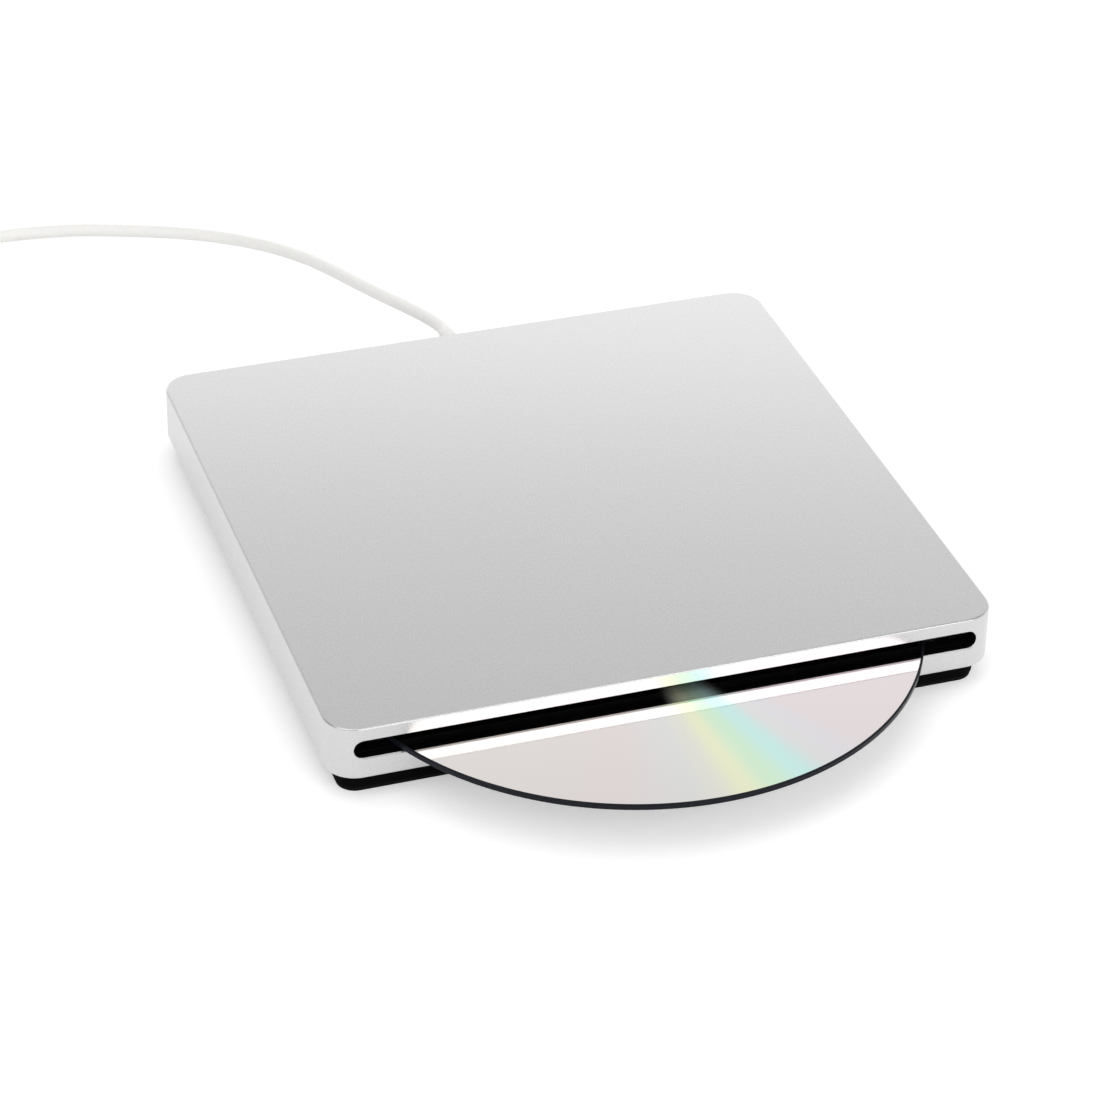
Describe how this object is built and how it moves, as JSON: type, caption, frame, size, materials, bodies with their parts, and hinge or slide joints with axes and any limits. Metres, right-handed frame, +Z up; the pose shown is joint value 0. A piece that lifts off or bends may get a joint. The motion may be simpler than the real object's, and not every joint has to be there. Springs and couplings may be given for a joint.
{
  "type": "external disc drive",
  "caption": "Flat square slot-loading disc drive in a satin silver shell on a black base, with a disc half out of the slot and a short attached USB lead.",
  "frame": {"origin": "on the table under the middle of the case, on the underside of the rubber mat", "axes": "+Z up, -Y towards the front face with the slot, +X to the right seen from the front"},
  "size_m": [0.2102, 0.2735, 0.0164],
  "materials": {
    "satin_silver": "fine satin, slightly warm silver",
    "base_black": "moulded, matt black",
    "rubber_black": "matt rubber",
    "felt_black": "short felt",
    "slot_black": "moulded, matt black",
    "sheet_steel": "zinc-plated sheet",
    "screw_steel": "plated screws",
    "ground_steel": "ground rods and shafts",
    "white_acetal": "low-friction moulded plastic",
    "brass": "turned",
    "motor_can": "nickel-plated can",
    "dark_casting": "dark coated casting",
    "copper_wire": "enamelled winding",
    "core_steel": "stacked core sheets",
    "magnet_grey": "plated magnet",
    "lens_glass": "coated lens",
    "board_green": "solder resist",
    "chip_black": "moulded packages",
    "flex_amber": "film cable",
    "lead_red": "insulated leads",
    "cord_white": "smooth warm white sheath",
    "tie_grey": "woven strap",
    "plug_steel": "plated plug shell",
    "contact_gold": "plated contacts",
    "disc_silver": "clear plastic over a bright metal layer"
  },
  "bodies": {
    "case": {"top_shell": "satin_silver", "base_cover": "base_black", "foot_mat": "rubber_black", "base_screws": "screw_steel", "slot_bezel": "slot_black", "upper_felt": "felt_black", "lower_felt": "felt_black", "chassis": "sheet_steel", "chassis_screws": "screw_steel", "mech_cover": "sheet_steel", "cover_screws": "screw_steel", "upper_guides": "white_acetal", "roller_brackets": "dark_casting", "roller_bushes": "brass", "gear_axle": "ground_steel", "load_motor": "motor_can", "traverse_frame": "dark_casting", "dampers": "rubber_black", "damper_screws": "screw_steel", "spindle_base": "sheet_steel", "spindle_bearing": "brass", "stator_core": "core_steel", "stator_coils": "copper_wire", "guide_rods": "ground_steel", "rod_holders": "dark_casting", "sled_motor": "motor_can", "main_board": "board_green", "board_screws": "screw_steel", "board_chips": "chip_black", "flex_cable": "flex_amber", "drive_connector": "chip_black", "usb_board": "board_green", "usb_chips": "chip_black", "cable_leads": "lead_red", "strain_relief": "cord_white", "usb_cord": "cord_white", "cord_coil": "cord_white", "cord_tie": "tie_grey", "plug_grip": "cord_white", "plug_shell": "plug_steel", "plug_tongue": "white_acetal", "plug_contacts": "contact_gold"},
    "disc": {"disc": "disc_silver"},
    "feed_roller": {"roller_shaft": "ground_steel", "roller_sleeves": "rubber_black", "roller_gear": "white_acetal"},
    "reduction": {"reduction_gear": "white_acetal"},
    "motor_rotor": {"motor_shaft": "ground_steel", "motor_pinion": "brass"},
    "spindle": {"spindle_rotor": "motor_can", "spindle_shaft": "ground_steel", "turntable_pad": "rubber_black", "hub_claws": "white_acetal"},
    "sled": {"pickup_sled": "dark_casting", "sled_bushes": "brass", "lens_magnets": "magnet_grey", "sled_rack": "white_acetal"},
    "lens": {"lens_holder": "chip_black", "objective_lens": "lens_glass"},
    "screw": {"lead_screw": "ground_steel"}
  },
  "joints": [
    {"name": "disc_slide", "type": "slide", "parent": "case", "child": "disc", "axis": [0, 1, 0], "range_m": [-0.088, 0.0395]},
    {"name": "roller_spin", "type": "hinge", "parent": "case", "child": "feed_roller", "pos_m": [0, -0.055, 0.0068], "axis": [1, 0, 0], "continuous": true},
    {"name": "reduction_spin", "type": "hinge", "parent": "case", "child": "reduction", "pos_m": [0.0606, -0.0502, 0.00864], "axis": [1, 0, 0], "continuous": true},
    {"name": "motor_spin", "type": "hinge", "parent": "case", "child": "motor_rotor", "pos_m": [0.0606, -0.04363, 0.0064], "axis": [1, 0, 0], "continuous": true},
    {"name": "spindle_spin", "type": "hinge", "parent": "case", "child": "spindle", "pos_m": [-0.001, -0.0035, 0.008], "axis": [0, 0, 1], "continuous": true},
    {"name": "sled_slide", "type": "slide", "parent": "case", "child": "sled", "axis": [-0.7071, 0.7071, 0], "range_m": [0, 0.036]},
    {"name": "screw_spin", "type": "hinge", "parent": "case", "child": "screw", "pos_m": [0.01145, 0.00894, 0.0074], "axis": [-0.7071, 0.7071, 0], "continuous": true},
    {"name": "lens_focus", "type": "slide", "parent": "sled", "child": "lens", "axis": [0, 0, 1], "range_m": [-0.0005, 0.0005], "stiffness_N_per_m": 60}
  ],
  "couplings": [
    {"joint": "roller_spin", "follows": "disc_slide", "rad_per_m": -333.33},
    {"joint": "reduction_spin", "follows": "disc_slide", "rad_per_m": 476.19},
    {"joint": "motor_spin", "follows": "disc_slide", "rad_per_m": -1088.4},
    {"joint": "screw_spin", "follows": "sled_slide", "rad_per_m": -2094.4}
  ]
}
